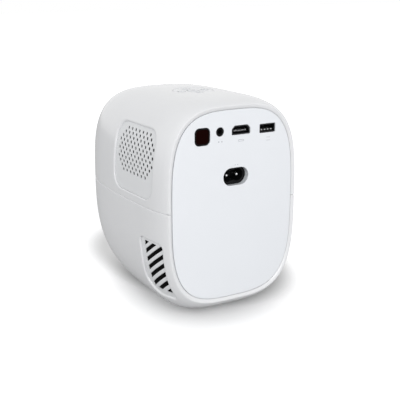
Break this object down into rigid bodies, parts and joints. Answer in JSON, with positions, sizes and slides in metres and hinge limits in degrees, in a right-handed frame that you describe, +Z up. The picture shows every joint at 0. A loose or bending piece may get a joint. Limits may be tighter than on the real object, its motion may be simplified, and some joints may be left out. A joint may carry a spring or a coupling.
{
  "type": "projector",
  "caption": "Small tower projector: rounded white casing, lens with focus ring in front, sockets and mains inlet behind, speaker grilles and slanted air vents on its sides, keys on top.",
  "frame": {"origin": "on the surface that the feet stand on, under the middle of the body", "axes": "+Z up, +Y from the lens side to the socket side, +X towards the side that carries the dark remote window"},
  "size_m": [0.1174, 0.1354, 0.161],
  "materials": {
    "casing_white": "fine satin moulded plastic",
    "panel_gloss": "polished",
    "cover_white": "satin",
    "key_grey": "satin",
    "foot_rubber": "matt",
    "nut_brass": "turned",
    "board_green": "satin lacquer",
    "board_tan": "matt",
    "socket_steel": "plated",
    "socket_black": "satin",
    "window_dark": "polished",
    "pin_metal": "plated",
    "transformer_tape": "satin tape",
    "lens_black": "satin",
    "lens_glass": "coated",
    "mirror_silver": "polished",
    "emitter_yellow": "satin",
    "sink_aluminium": "extruded",
    "speaker_black": "matt"
  },
  "bodies": {
    "casing": {"upper_shell": "casing_white", "lower_shell": "casing_white", "front_panel": "panel_gloss", "rear_panel": "panel_gloss", "speaker_grille_left": "cover_white", "speaker_grille_right": "cover_white", "side_vent_left": "cover_white", "side_vent_right": "cover_white", "foot_front_left": "foot_rubber", "foot_front_right": "foot_rubber", "foot_rear_left": "foot_rubber", "foot_rear_right": "foot_rubber", "stand_nut": "nut_brass", "control_pad": "key_grey", "key_board": "board_green", "main_board": "board_green", "video_socket_shell": "socket_steel", "video_socket_tongue": "socket_black", "data_socket_shell": "socket_steel", "data_socket_tongue": "socket_black", "sound_jack": "socket_black", "remote_window": "window_dark", "remote_receiver": "socket_black", "mains_inlet": "socket_black", "inlet_pin_left": "pin_metal", "inlet_pin_right": "pin_metal", "power_board": "board_tan", "transformer": "transformer_tape", "capacitor": "socket_black", "optical_box": "lens_black", "mirror": "mirror_silver", "lower_fresnel": "lens_glass", "image_plate": "window_dark", "upper_fresnel": "lens_glass", "light_board": "sink_aluminium", "light_emitter": "emitter_yellow", "light_funnel": "mirror_silver", "condenser_lens": "lens_glass", "heat_sink": "sink_aluminium", "fan_frame": "lens_black", "lens_mount": "lens_black", "lens_screw_1": "socket_steel", "lens_screw_2": "socket_steel", "lens_screw_3": "socket_steel", "lens_screw_4": "socket_steel", "speaker_left": "speaker_black", "speaker_right": "speaker_black", "speaker_cone_left": "speaker_black", "speaker_cone_right": "speaker_black"},
    "rotor": {"fan_rotor": "lens_black"},
    "ring": {"focus_ring": "lens_black"},
    "barrel": {"lens_barrel": "lens_black", "front_glass": "lens_glass", "rear_glass": "lens_glass"},
    "power_button": {"power_key": "key_grey"},
    "front_button": {"key_front": "key_grey"},
    "rear_button": {"key_rear": "key_grey"},
    "left_button": {"key_left": "key_grey"},
    "right_button": {"key_right": "key_grey"}
  },
  "joints": [
    {"name": "fan_spin", "type": "hinge", "parent": "casing", "child": "rotor", "pos_m": [0, 0.02515, 0.037], "axis": [0, 1, 0], "continuous": true},
    {"name": "focus_turn", "type": "hinge", "parent": "casing", "child": "ring", "pos_m": [0, -0.049, 0.105], "axis": [0, -1, 0], "range_deg": [0, 90]},
    {"name": "lens_slide", "type": "slide", "parent": "casing", "child": "barrel", "axis": [0, -1, 0], "range_m": [0, 0.004]},
    {"name": "power_press", "type": "slide", "parent": "casing", "child": "power_button", "axis": [0, 0, -1], "range_m": [0, 0.0005], "stiffness_N_per_m": 2000},
    {"name": "front_press", "type": "slide", "parent": "casing", "child": "front_button", "axis": [0, 0, -1], "range_m": [0, 0.0005], "stiffness_N_per_m": 2000},
    {"name": "rear_press", "type": "slide", "parent": "casing", "child": "rear_button", "axis": [0, 0, -1], "range_m": [0, 0.0005], "stiffness_N_per_m": 2000},
    {"name": "left_press", "type": "slide", "parent": "casing", "child": "left_button", "axis": [0, 0, -1], "range_m": [0, 0.0005], "stiffness_N_per_m": 2000},
    {"name": "right_press", "type": "slide", "parent": "casing", "child": "right_button", "axis": [0, 0, -1], "range_m": [0, 0.0005], "stiffness_N_per_m": 2000}
  ],
  "couplings": [
    {"joint": "focus_turn", "follows": "lens_slide", "rad_per_m": 392.7}
  ]
}
